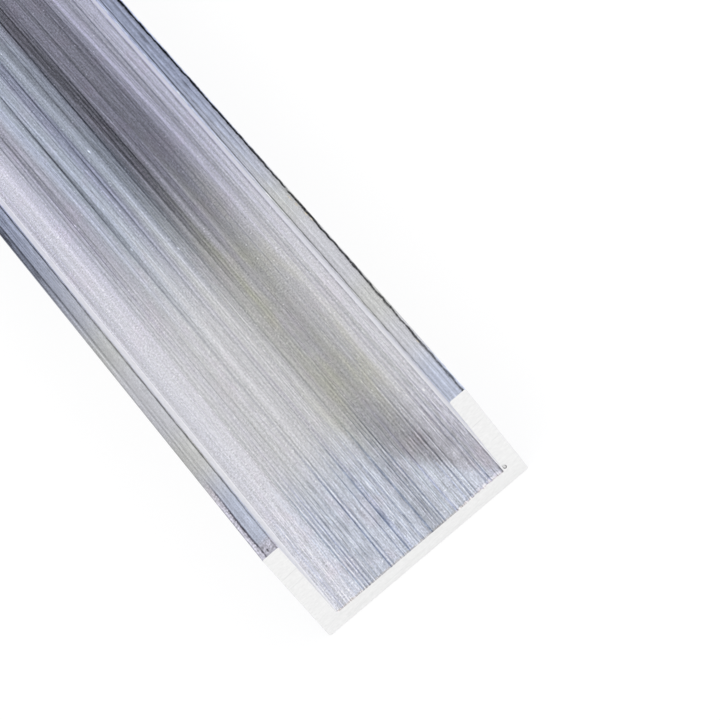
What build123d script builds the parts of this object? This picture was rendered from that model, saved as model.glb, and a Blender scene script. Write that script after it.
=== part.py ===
from build123d import *
import os

# Aluminium U channel, extruded in one piece and sold by the bar.
# It lies on its web with the groove open upwards.
# X runs along the bar, Y across it, and Z up from the back of the web.
# The origin is on the back of the web, half way along the bar.

# Driving dimensions, in millimetres
bar_length = 1000.0        # between the two sawn ends
section_width = 25.0       # over the outsides of the two flanges
section_height = 15.0      # from the back of the web to the flange tips
web_thickness = 2.0
flange_thickness = 2.0
heel_radius = 0.3          # outer corners, where the web's back turns into a flange
root_radius = 0.3          # inner corners, at the sides of the groove's floor
tip_radius = 0.2           # both arrises of each flange tip

# Sizes that follow
groove_width = section_width - 2 * flange_thickness
groove_depth = section_height - web_thickness

# The profile, closed at the web and open at the top, drawn where the bar starts
with BuildPart() as u_channel:
    with BuildSketch(Plane.YZ.offset(-bar_length / 2)) as profile:
        Rectangle(section_width, section_height, align=(Align.CENTER, Align.MIN))
        with Locations((0, web_thickness)):
            Rectangle(groove_width, groove_depth, align=(Align.CENTER, Align.MIN), mode=Mode.SUBTRACT)

        # From the bottom up, the corners lie at three heights: heels, roots and tips
        fillet(profile.vertices().group_by(Axis.Y)[1], radius=root_radius)
        fillet(profile.vertices().group_by(Axis.Y)[0], radius=heel_radius)
        fillet(profile.vertices().group_by(Axis.Y)[-1], radius=tip_radius)
    extrude(amount=bar_length)

u_channel.part.label = "u_channel"

os.makedirs("parts", exist_ok=True)
export_step(u_channel.part, "parts/u_channel.step")
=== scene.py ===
"""Aluminium U channel in mill finish, lying on its web, seen from above its sawn near end.

The bar runs along X with the groove open upwards. Sizes are in metres, in the row's own frame.
"""
import logging
import math
from collections.abc import Iterable
from dataclasses import dataclass, field
from enum import Enum
from typing import Any

import bmesh
import bpy
from mathutils import Matrix, Vector, noise
from mathutils.geometry import delaunay_2d_cdt


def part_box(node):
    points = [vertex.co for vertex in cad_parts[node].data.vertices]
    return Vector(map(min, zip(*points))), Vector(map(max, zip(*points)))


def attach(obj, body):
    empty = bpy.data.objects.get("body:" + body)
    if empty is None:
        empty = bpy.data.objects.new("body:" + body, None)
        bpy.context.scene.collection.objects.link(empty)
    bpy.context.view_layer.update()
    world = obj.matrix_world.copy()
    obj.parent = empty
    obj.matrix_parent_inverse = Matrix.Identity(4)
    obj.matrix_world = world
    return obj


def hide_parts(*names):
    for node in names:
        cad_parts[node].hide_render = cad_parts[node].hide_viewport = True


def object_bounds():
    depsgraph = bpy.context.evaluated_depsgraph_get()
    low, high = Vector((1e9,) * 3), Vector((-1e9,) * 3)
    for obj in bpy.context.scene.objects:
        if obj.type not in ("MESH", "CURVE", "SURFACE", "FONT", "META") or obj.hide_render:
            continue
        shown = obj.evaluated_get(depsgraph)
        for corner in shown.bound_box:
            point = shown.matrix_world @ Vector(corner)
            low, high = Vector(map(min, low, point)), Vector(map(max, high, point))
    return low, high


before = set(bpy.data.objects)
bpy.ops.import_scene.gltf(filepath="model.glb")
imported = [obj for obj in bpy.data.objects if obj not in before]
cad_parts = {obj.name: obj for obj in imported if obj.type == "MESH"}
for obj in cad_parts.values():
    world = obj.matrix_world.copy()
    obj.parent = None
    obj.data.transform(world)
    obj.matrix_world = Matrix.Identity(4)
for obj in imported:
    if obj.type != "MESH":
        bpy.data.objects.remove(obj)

CAD_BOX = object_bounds()
MM = 0.001

log = logging.getLogger("u_channel")


class End(Enum):
    """The two sawn ends of the bar, by the sign of X."""

    NEAR = -1
    FAR = 1


class Face(Enum):
    """The bar's kinds of face, by their place in its material list."""

    FLOOR = 0
    WALL = 1
    TIP = 2
    OUTSIDE = 3
    SAWN = 4
    CURL = 5


class Wiring:
    """Adds nodes to one tree and joins them, so that a pattern reads as a list of steps."""

    def __init__(self, tree: bpy.types.NodeTree) -> None:
        """Starts on a tree that may already hold nodes.

        Args:
            tree: The shader, world or geometry tree to add to.
        """
        self.tree = tree

    def node(
        self, kind: str, inputs: dict[Any, Any] | None = None, **settings: Any
    ) -> bpy.types.Node:
        """Adds one node.

        Args:
            kind: The node's Blender type.
            inputs: Value or output socket for each input, by name or number.
            settings: The node's own properties.

        Returns:
            The new node.
        """
        made = self.tree.nodes.new(kind)
        for name, value in settings.items():
            setattr(made, name, value)
        for key, value in (inputs or {}).items():
            self.feed(made.inputs[key], value)
        return made

    def feed(self, socket: bpy.types.NodeSocket, value: Any) -> None:
        """Links an output to a socket, or writes a value on it.

        Args:
            socket: The input to fill.
            value: Another node's output, or a plain value.
        """
        if isinstance(value, bpy.types.NodeSocket):
            self.tree.links.new(value, socket)
        else:
            socket.default_value = value

    def math(self, operation: str, *values: Any, clamp: bool = False) -> bpy.types.NodeSocket:
        """Adds a Math node.

        Args:
            operation: Blender's name of the operation.
            values: One to three numbers or output sockets.
            clamp: Whether the result is kept from 0 to 1.

        Returns:
            The node's output.
        """
        inputs = dict(enumerate(values))
        return self.node("ShaderNodeMath", inputs, operation=operation, use_clamp=clamp).outputs[0]

    def product(self, first: Any, *others: Any) -> bpy.types.NodeSocket:
        """Multiplies numbers or output sockets, one after the other.

        Args:
            first: The first of them.
            others: The rest.

        Returns:
            The last node's output.
        """
        result = first
        for other in others:
            result = self.math("MULTIPLY", result, other)
        return result

    def smooth(
        self, value: Any, start: Any, end: Any, low: Any = 0.0, high: Any = 1.0
    ) -> bpy.types.NodeSocket:
        """Goes smoothly from low to high as value goes from start to end.

        Args:
            value: What is compared, a number or an output socket.
            start: Where the change starts.
            end: Where it ends.
            low: The result before start.
            high: The result past end.

        Returns:
            The Map Range node's output.
        """
        made = self.node(
            "ShaderNodeMapRange",
            {0: value, 1: start, 2: end, 3: low, 4: high},
            interpolation_type="SMOOTHSTEP",
        )
        return made.outputs[0]

    def scaled(self, vector: Any, amount: Any) -> bpy.types.NodeSocket:
        """Multiplies a vector by a number."""
        inputs = {0: vector, "Scale": amount}
        return self.node("ShaderNodeVectorMath", inputs, operation="SCALE").outputs[0]

    def wave(self, phase: Any, detail: float) -> bpy.types.NodeSocket:
        """Gives smooth noise from 0 to 1 along one number, with a new value at each whole step."""
        inputs = {"W": phase, "Scale": 1.0, "Detail": detail}
        return self.node("ShaderNodeTexNoise", inputs, noise_dimensions="1D").outputs[0]

    def position(self) -> Any:
        """Reads the X, Y and Z of a mesh point, as three outputs."""
        place = self.node("GeometryNodeInputPosition").outputs[0]
        return self.node("ShaderNodeSeparateXYZ", {0: place}).outputs

    def kept(self, name: str) -> bpy.types.NodeSocket:
        """Reads a number that is kept at each mesh point."""
        return self.node("GeometryNodeInputNamedAttribute", {"Name": name}, data_type="FLOAT").outputs[0]


class NodeShape:
    """A Geometry Nodes tree with named inputs, and the plain mesh that it makes."""

    def __init__(self, name: str, kinds: dict[str, tuple[str, ...]]) -> None:
        """Makes a tree that has only its sockets.

        Args:
            name: The tree's name.
            kinds: The names of the inputs of each socket type.
        """
        self.tree = bpy.data.node_groups.new(name, "GeometryNodeTree")
        self.tree.is_modifier = True
        for way in ("INPUT", "OUTPUT"):
            self.tree.interface.new_socket("Geometry", in_out=way, socket_type="NodeSocketGeometry")
        self.identifiers: dict[str, str] = {}
        for kind, labels in kinds.items():
            for label in labels:
                socket = self.tree.interface.new_socket(label, in_out="INPUT", socket_type=kind)
                self.identifiers[label] = socket.identifier
        self.wiring = Wiring(self.tree)
        self.given = self.wiring.node("NodeGroupInput").outputs

    def end(self, geometry: bpy.types.NodeSocket) -> None:
        """Ends the tree in smooth shading, Realize Instances and Set Material.

        Args:
            geometry: The finished shape.
        """
        smooth = self.wiring.node("GeometryNodeSetShadeSmooth", {0: geometry})
        real = self.wiring.node("GeometryNodeRealizeInstances", {0: smooth.outputs[0]})
        dressed = self.wiring.node(
            "GeometryNodeSetMaterial", {0: real.outputs[0], "Material": self.given["Material"]}
        )
        self.wiring.node("NodeGroupOutput", {0: dressed.outputs[0]})

    def mesh(self, values: dict[str, Any]) -> bpy.types.Mesh:
        """Runs the tree on an empty mesh.

        Args:
            values: What each named input is set to.

        Returns:
            The plain mesh that comes out.
        """
        host = bpy.data.objects.new("host", bpy.data.meshes.new("host"))
        bpy.context.scene.collection.objects.link(host)
        modifier = host.modifiers.new("shape", "NODES")
        modifier.node_group = self.tree
        for label, value in values.items():
            modifier[self.identifiers[label]] = value
        graph = bpy.context.evaluated_depsgraph_get()
        made = bpy.data.meshes.new_from_object(host.evaluated_get(graph))
        bpy.data.objects.remove(host)
        return made


def values_of(labels: tuple[str, ...], *owners: Any) -> dict[str, Any]:
    """Looks up the value of each named input among the fields of some sub-assemblies.

    Args:
        labels: The inputs' names, such as Tip Radius for the field tip_radius.
        owners: The sub-assemblies that hold the fields.

    Returns:
        The value of each input.
    """
    fields = {name: value for owner in owners for name, value in vars(owner).items()}
    return {label: fields[label.lower().replace(" ", "_")] for label in labels}


@dataclass
class Section:
    """The U section's sizes. Width and height come from the frame."""

    width: float
    height: float
    web: float = 2.0 * MM
    flange: float = 2.0 * MM
    heel_radius: float = 0.3 * MM
    root_radius: float = 0.3 * MM
    tip_radius: float = 0.2 * MM

    @property
    def groove(self) -> float:
        """The groove's width between the flanges."""
        return self.width - 2 * self.flange


@dataclass(frozen=True)
class DieScore:
    """One clear line that the die leaves along the groove's floor, raised where its depth is below 0."""

    from_left: float
    half_width: float
    depth: float


# The floor's clear die lines, from the left wall to the right, first the cut ones and then the raised ones
DIE_SCORES = tuple(
    DieScore(from_left * MM, half_width * MM, depth)
    for from_left, half_width, depth in (
        (0.70, 0.10, 0.35),
        (0.97, 0.08, 0.25),
        (2.60, 0.10, 0.25),
        (3.35, 0.10, 0.70),
        (3.75, 0.09, 0.50),
        (4.10, 0.10, 0.70),
        (4.50, 0.09, 0.60),
        (5.15, 0.09, 0.35),
        (5.67, 0.08, 0.30),
        (6.82, 0.13, 1.00),
        (7.20, 0.09, 0.55),
        (8.43, 0.10, 0.55),
        (9.18, 0.13, 0.90),
        (9.52, 0.09, 0.45),
        (10.33, 0.08, 0.30),
        (10.87, 0.10, 0.55),
        (11.97, 0.14, 0.90),
        (12.95, 0.10, 0.50),
        (13.30, 0.09, 0.40),
        (13.60, 0.12, 0.75),
        (14.55, 0.09, 0.35),
        (15.08, 0.11, 0.65),
        (16.53, 0.10, 0.45),
        (17.10, 0.11, 0.60),
        (17.65, 0.08, 0.25),
        (19.01, 0.10, 0.45),
        (19.47, 0.15, 0.70),
        (20.06, 0.07, 0.35),
        (20.83, 0.11, 0.50),
        (1.25, 0.06, -0.25),
        (3.18, 0.06, -0.35),
        (3.56, 0.06, -0.45),
        (3.92, 0.06, -0.40),
        (4.30, 0.06, -0.55),
        (4.76, 0.05, -0.45),
        (4.96, 0.05, -0.35),
        (6.44, 0.06, -0.25),
        (7.02, 0.06, -0.45),
        (7.50, 0.08, -0.20),
        (8.70, 0.06, -0.25),
        (9.37, 0.05, -0.40),
        (11.06, 0.06, -0.45),
        (11.25, 0.05, -0.35),
        (12.83, 0.05, -0.35),
        (13.12, 0.05, -0.40),
        (13.43, 0.05, -0.45),
        (15.28, 0.08, -0.30),
        (16.93, 0.06, -0.50),
        (17.27, 0.05, -0.55),
        (17.52, 0.06, -0.45),
        (19.25, 0.06, -0.50),
        (19.88, 0.06, -0.35),
    )
)


SWEEP_SIZES = (
    "Length", "Width", "Height", "Web", "Flange", "Heel Radius", "Root Radius", "Tip Radius",
    "Point Spacing", "End Crowding", "Line Pitch", "Line Depth", "Score Depth", "Edge Break",
    "Tear Pitch", "End Reach", "Burr Height", "Burr Centre", "Burr Half Width", "Seed",
)
SWEEP_COUNTS = ("Rings", "Corner Points")


@dataclass
class Sweep:
    """The Geometry Nodes tree that draws the section and sweeps it along the bar."""

    section: Section
    length: float
    point_spacing: float = 0.06 * MM
    rings: int = 33
    end_crowding: float = 3.0
    line_pitch: float = 0.16 * MM
    line_depth: float = 0.0025 * MM
    score_depth: float = 0.012 * MM
    edge_break: float = 0.02 * MM
    tear_pitch: float = 0.5 * MM
    end_reach: float = 0.001 * MM
    burr_height: float = 0.20 * MM
    burr_centre: float = -8.1 * MM
    burr_half_width: float = 2.5 * MM
    corner_points: int = 8
    seed: float = 4.0

    def shape(self) -> NodeShape:
        """Builds the tree.

        Returns:
            The tree, ready to be run.
        """
        shape = NodeShape("channel_sweep", {
            "NodeSocketFloat": SWEEP_SIZES,
            "NodeSocketInt": SWEEP_COUNTS,
            "NodeSocketObject": ("Scores",),
            "NodeSocketMaterial": ("Material",),
        })
        wiring, given = shape.wiring, shape.given
        outline = self.outline(wiring, given)
        spine = self.spine(wiring, given)
        swept = wiring.node("GeometryNodeCurveToMesh", {0: spine, 1: outline})
        relief = self.relief(wiring, given, swept.outputs[0])
        shape.end(self.broken_edges(wiring, given, relief))
        return shape

    def outline(self, wiring: Wiring, given: Any) -> bpy.types.NodeSocket:
        """Draws the section's outline as a closed curve with rounded corners.

        Args:
            wiring: The tree's wiring.
            given: The group's input sockets.

        Returns:
            The curve in its own plane, turned half round as the sweep lays it.
        """
        half = wiring.product(given["Width"], 0.5)
        inner = wiring.math("SUBTRACT", half, given["Flange"])
        sizes = {
            "right": half,
            "left": wiring.product(half, -1.0),
            "right_wall": inner,
            "left_wall": wiring.product(inner, -1.0),
            "base": 0.0,
            "floor": given["Web"],
            "top": given["Height"],
            "heel": given["Heel Radius"],
            "root": given["Root Radius"],
            "tip": given["Tip Radius"],
        }
        corner_words = {
            "across": "left right right right_wall right_wall left_wall left_wall left",
            "up": "base base top top floor floor top top",
            "radius": "heel heel tip tip root root tip tip",
        }
        index = wiring.node("GeometryNodeInputIndex").outputs[0]
        chosen = {}
        for name, words in corner_words.items():
            switch = wiring.node("GeometryNodeIndexSwitch", data_type="FLOAT")
            while len(switch.index_switch_items) < len(words.split()):
                switch.index_switch_items.new()
            wiring.feed(switch.inputs[0], index)
            for place, word in enumerate(words.split()):
                wiring.feed(switch.inputs[place + 1], sizes[word])
            chosen[name] = switch.outputs[0]
        corners = len(corner_words["up"].split())
        loop = wiring.node("GeometryNodeMeshCircle", {"Vertices": corners}, fill_type="NONE").outputs[0]
        upright = wiring.node("ShaderNodeCombineXYZ", {"X": chosen["across"], "Y": chosen["up"]})
        turned = wiring.scaled(upright.outputs[0], -1.0)
        placed = wiring.node("GeometryNodeSetPosition", {"Geometry": loop, "Position": turned})
        curve = wiring.node("GeometryNodeMeshToCurve", {0: placed.outputs[0]})
        rounded = wiring.node(
            "GeometryNodeFilletCurve",
            {"Curve": curve.outputs[0], "Count": given["Corner Points"], "Radius": chosen["radius"]},
            mode="POLY",
        )
        even = wiring.node(
            "GeometryNodeResampleCurve",
            {"Curve": rounded.outputs[0], "Length": given["Point Spacing"]},
            mode="LENGTH",
        )
        reached = wiring.node("GeometryNodeSplineParameter").outputs["Length"]
        return self.store(wiring, even.outputs[0], "around", reached)

    def store(self, wiring: Wiring, geometry: Any, name: str, value: Any) -> bpy.types.NodeSocket:
        """Keeps a number for each point under a name.

        Args:
            wiring: The tree's wiring.
            geometry: The curve or mesh to keep it on.
            name: What it is called.
            value: The number.

        Returns:
            The geometry with its number.
        """
        made = wiring.node(
            "GeometryNodeStoreNamedAttribute",
            {"Geometry": geometry, "Name": name, "Value": value},
            data_type="FLOAT",
            domain="POINT",
        )
        return made.outputs[0]

    def spine(self, wiring: Wiring, given: Any) -> bpy.types.NodeSocket:
        """Draws the bar's axis, with its points crowded towards both ends.

        Args:
            wiring: The tree's wiring.
            given: The group's input sockets.

        Returns:
            The curve along X.
        """
        half = wiring.product(given["Length"], 0.5)
        back = wiring.product(half, -1.0)
        start = wiring.node("ShaderNodeCombineXYZ", {"X": back}).outputs[0]
        end = wiring.node("ShaderNodeCombineXYZ", {"X": half}).outputs[0]
        line = wiring.node("GeometryNodeCurvePrimitiveLine", {"Start": start, "End": end}).outputs[0]
        rings = wiring.node("GeometryNodeResampleCurve", {"Curve": line, "Count": given["Rings"]}).outputs[0]
        along = wiring.position()["X"]
        share = wiring.math("DIVIDE", wiring.math("ABSOLUTE", along), half)
        left_over = wiring.math("POWER", wiring.math("SUBTRACT", 1.0, share), given["End Crowding"])
        reach = wiring.product(wiring.math("SUBTRACT", 1.0, left_over), half)
        signed = wiring.product(reach, wiring.math("SIGN", along))
        crowded = wiring.node("ShaderNodeCombineXYZ", {"X": signed}).outputs[0]
        return wiring.node("GeometryNodeSetPosition", {"Geometry": rings, "Position": crowded}).outputs[0]

    def relief(self, wiring: Wiring, given: Any, mesh: Any) -> bpy.types.NodeSocket:
        """Presses the die lines into the surface and keeps how deep each deep one is, as score.

        Args:
            wiring: The tree's wiring.
            given: The group's input sockets.
            mesh: The plain sweep.

        Returns:
            The mesh with its lines.
        """
        place = wiring.position()
        flat = wiring.node("ShaderNodeCombineXYZ", {"Y": place["Y"], "Z": place["Z"]}).outputs[0]
        scores = wiring.node("GeometryNodeObjectInfo", {"Object": given["Scores"]}).outputs["Geometry"]
        sampled = {0: scores, "Sample Position": flat}
        nearest = wiring.node("GeometryNodeSampleNearest", sampled, domain="POINT")
        found = {}
        for name, kind in (("position", "FLOAT_VECTOR"), ("half_width", "FLOAT"), ("depth", "FLOAT")):
            read = wiring.node("GeometryNodeInputNamedAttribute", {"Name": name}, data_type=kind)
            found[name] = wiring.node(
                "GeometryNodeSampleIndex",
                {"Geometry": scores, "Value": read.outputs[0], "Index": nearest.outputs[0]},
                data_type=kind,
                domain="POINT",
            ).outputs[0]
        ends = {0: flat, 1: found["position"]}
        gap = wiring.node("ShaderNodeVectorMath", ends, operation="DISTANCE").outputs["Value"]
        score = wiring.product(wiring.smooth(gap, 0.0, found["half_width"], 1.0, 0.0), found["depth"])
        turn = wiring.math("DIVIDE", wiring.kept("around"), given["Line Pitch"])
        lines = wiring.wave(wiring.math("ADD", turn, given["Seed"]), 2.0)
        ripple = wiring.product(wiring.math("SUBTRACT", lines, 0.5), given["Line Depth"], 2.0)
        bite = wiring.product(score, given["Score Depth"])
        normal = wiring.node("GeometryNodeInputNormal").outputs[0]
        push = wiring.scaled(normal, wiring.math("SUBTRACT", ripple, bite))
        kept = self.store(wiring, mesh, "score", score)
        return wiring.node("GeometryNodeSetPosition", {"Geometry": kept, "Offset": push}).outputs[0]

    def broken_edges(self, wiring: Wiring, given: Any, mesh: Any) -> bpy.types.NodeSocket:
        """Draws the last ring at each end unevenly inwards, and raises a burr on the near one.

        Args:
            wiring: The tree's wiring.
            given: The group's input sockets.
            mesh: The sweep with its lines.

        Returns:
            The mesh with its end edges broken.
        """
        place = wiring.position()
        limit = wiring.math("SUBTRACT", wiring.product(given["Length"], 0.5), given["End Reach"])
        last = wiring.math("GREATER_THAN", wiring.math("ABSOLUTE", place["X"]), limit)
        turn = wiring.math("DIVIDE", wiring.kept("around"), given["Tear Pitch"])
        uneven = wiring.wave(wiring.math("ADD", turn, place["X"]), 3.0)
        inwards = wiring.product(given["Edge Break"], wiring.product(uneven, -2.0))

        normal = wiring.node("GeometryNodeInputNormal").outputs[0]
        facing = wiring.node("ShaderNodeSeparateXYZ", {0: normal}).outputs["Z"]
        gap = wiring.math("ABSOLUTE", wiring.math("SUBTRACT", place["Y"], given["Burr Centre"]))
        full_burr = wiring.product(given["Burr Half Width"], 0.5)
        burr = wiring.product(
            wiring.smooth(gap, full_burr, given["Burr Half Width"], 1.0, 0.0),
            wiring.math("LESS_THAN", place["X"], 0.0),
            wiring.math("GREATER_THAN", facing, 0.5),
            wiring.math("LESS_THAN", place["Z"], wiring.product(given["Height"], 0.5)),
            wiring.smooth(wiring.wave(turn, 3.0), 0.25, 0.75),
        )
        amount = wiring.math("MULTIPLY_ADD", burr, given["Burr Height"], inwards)
        inputs = {"Geometry": mesh, "Selection": last, "Offset": wiring.scaled(normal, amount)}
        return wiring.node("GeometryNodeSetPosition", inputs).outputs[0]

    def scores(self) -> bpy.types.Object:
        """Makes a helper mesh with a point on the groove's floor for each deep line.

        Returns:
            The helper's object.
        """
        left_wall, floor = self.section.groove / 2, self.section.web
        mesh = bpy.data.meshes.new("die_scores")
        mesh.from_pydata([(0.0, left_wall - score.from_left, floor) for score in DIE_SCORES], [], [])
        for name in ("half_width", "depth"):
            values = mesh.attributes.new(name, "FLOAT", "POINT")
            values.data.foreach_set("value", [getattr(score, name) for score in DIE_SCORES])
        helper = bpy.data.objects.new("die_scores", mesh)
        bpy.context.scene.collection.objects.link(helper)
        return helper

    def mesh(self, material: bpy.types.Material) -> bpy.types.Mesh:
        """Runs the tree and returns the open tube that it makes as a plain mesh.

        Args:
            material: What Set Material gives the faces.

        Returns:
            The mesh, open at both ends, with around and score at its points.
        """
        helper = self.scores()
        sizes = values_of(SWEEP_SIZES + SWEEP_COUNTS, self.section, self)
        made = self.shape().mesh(sizes | {"Scores": helper, "Material": material})
        bpy.data.objects.remove(helper)
        return made


CURL_SIZES = ("Turns", "Start Radius", "End Radius", "Lift", "Thickness", "Unevenness", "Tear Size")
CURL_COUNTS = ("Along Points", "Around Points")


@dataclass
class Curl:
    """The crumb of torn metal that curls up at the right root corner of the near cut."""

    middle: Vector
    tilt: float = math.radians(42.0)
    turn: float = math.radians(20.0)
    turns: float = 0.8
    start_radius: float = 0.21 * MM
    end_radius: float = 0.14 * MM
    lift: float = 0.12 * MM
    thickness: float = 0.048 * MM
    unevenness: float = 0.06 * MM
    tear_size: float = 0.15 * MM
    along_points: int = 26
    around_points: int = 8

    def shape(self) -> NodeShape:
        """Builds the tree: a spiral, swept and made uneven.

        Returns:
            The tree, ready to be run.
        """
        shape = NodeShape("root_curl", {
            "NodeSocketFloat": CURL_SIZES,
            "NodeSocketInt": CURL_COUNTS,
            "NodeSocketVector": ("Middle", "Rotation"),
            "NodeSocketMaterial": ("Material",),
        })
        wiring, given = shape.wiring, shape.given
        path = wiring.node("GeometryNodeCurveSpiral", {
            "Resolution": given["Along Points"], "Rotations": given["Turns"],
            "Start Radius": given["Start Radius"], "End Radius": given["End Radius"],
            "Height": given["Lift"],
        }).outputs[0]
        ring = wiring.node("GeometryNodeCurvePrimitiveCircle", {
            "Resolution": given["Around Points"], "Radius": given["Thickness"],
        }).outputs[0]
        tube = wiring.node("GeometryNodeCurveToMesh", {0: path, 1: ring, "Fill Caps": True}).outputs[0]
        scale = wiring.math("DIVIDE", 1.0, given["Tear Size"])
        tears = wiring.node("ShaderNodeTexNoise", {"Scale": scale, "Detail": 2.0}).outputs["Color"]
        middle = {0: tears, 1: (0.5, 0.5, 0.5)}
        swing = wiring.node("ShaderNodeVectorMath", middle, operation="SUBTRACT").outputs[0]
        push = wiring.scaled(swing, given["Unevenness"])
        torn = wiring.node("GeometryNodeSetPosition", {"Geometry": tube, "Offset": push}).outputs[0]
        placed = wiring.node("GeometryNodeTransform", {
            "Geometry": torn, "Translation": given["Middle"], "Rotation": given["Rotation"],
        })
        shape.end(placed.outputs[0])
        return shape

    def mesh(self, material: bpy.types.Material) -> bpy.types.Mesh:
        """Runs the tree.

        Args:
            material: What Set Material gives the faces.

        Returns:
            The closed curl as a plain mesh.
        """
        return self.shape().mesh(values_of(CURL_SIZES + CURL_COUNTS, self) | {
            "Middle": self.middle,
            "Rotation": (0.0, -self.tilt, self.turn),
            "Material": material,
        })


@dataclass
class BakeLayout:
    """The flat map for a colour bake: the bar unrolled, with more room for its near end.

    The sawn ends and the curl have a strip of their own below it.
    """

    section: Section
    length: float
    point_spacing: float
    near_length: float = 110.0 * MM
    near_share: float = 0.5
    margin: float = 0.006
    strip: float = 0.145
    far_end_start: float = 0.3
    curl_start: float = 0.6
    cells: int = 24
    cell_radius: float = 0.4

    def lay(self, shape: bmesh.types.BMesh) -> None:
        """Writes the map on every face, as the UV layer OFBake.

        Args:
            shape: The finished bar.
        """
        layer = shape.loops.layers.uv.new("OFBake")
        around = shape.verts.layers.float["around"]
        total = max(vert[around] for vert in shape.verts) + self.point_spacing
        curled = 0
        for face in shape.faces:
            kind = Face(face.material_index)
            if kind is Face.CURL:
                places = self.cell(curled, len(face.loops))
                curled += 1
            elif kind is Face.SAWN:
                places = [self.on_end(loop.vert.co) for loop in face.loops]
            else:
                reach = [loop.vert[around] for loop in face.loops]
                if max(reach) - min(reach) > total / 2:
                    reach = [far or total for far in reach]
                along = [loop.vert.co.x for loop in face.loops]
                places = [self.unrolled(x, far / total) for x, far in zip(along, reach)]
            for loop, place in zip(face.loops, places):
                loop[layer].uv = place

    def unrolled(self, x: float, share: float) -> tuple[float, float]:
        """Places a point of the swept surface.

        Args:
            x: Its place along the bar.
            share: How far round the section it is, from 0 to 1.

        Returns:
            Its place on the map.
        """
        along = x + self.length / 2
        if along < self.near_length:
            across = self.near_share * along / self.near_length
        else:
            rest = (along - self.near_length) / (self.length - self.near_length)
            across = self.near_share + (1.0 - self.near_share) * rest
        low, high = self.strip, 1.0 - self.margin
        return self.margin + across * (1.0 - 2 * self.margin), low + share * (high - low)

    def on_end(self, place: Vector) -> tuple[float, float]:
        """Places a point of a sawn end, the far one to the right of the near one.

        Args:
            place: The point.

        Returns:
            Its place on the map.
        """
        scale = (self.strip - 2 * self.margin) / self.section.height
        across = self.section.width / 2 + math.copysign(place.y, place.x * place.y)
        start = self.margin if place.x < 0 else self.far_end_start
        return start + across * scale, self.margin + place.z * scale

    def cell(self, index: int, corners: int) -> list[tuple[float, float]]:
        """Gives a face of the curl a small polygon of its own.

        Args:
            index: Which of the curl's faces it is.
            corners: How many corners it has.

        Returns:
            The polygon's corners on the map.
        """
        size = (self.strip - 2 * self.margin) / self.cells
        row, column = divmod(index, 2 * self.cells)
        middle = (self.curl_start + (column + 0.5) * size, self.margin + (row + 0.5) * size)
        reach = self.cell_radius * size
        turns = [math.tau * (i + 0.5) / corners for i in range(corners)]
        return [(middle[0] + reach * math.cos(t), middle[1] + reach * math.sin(t)) for t in turns]


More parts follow.
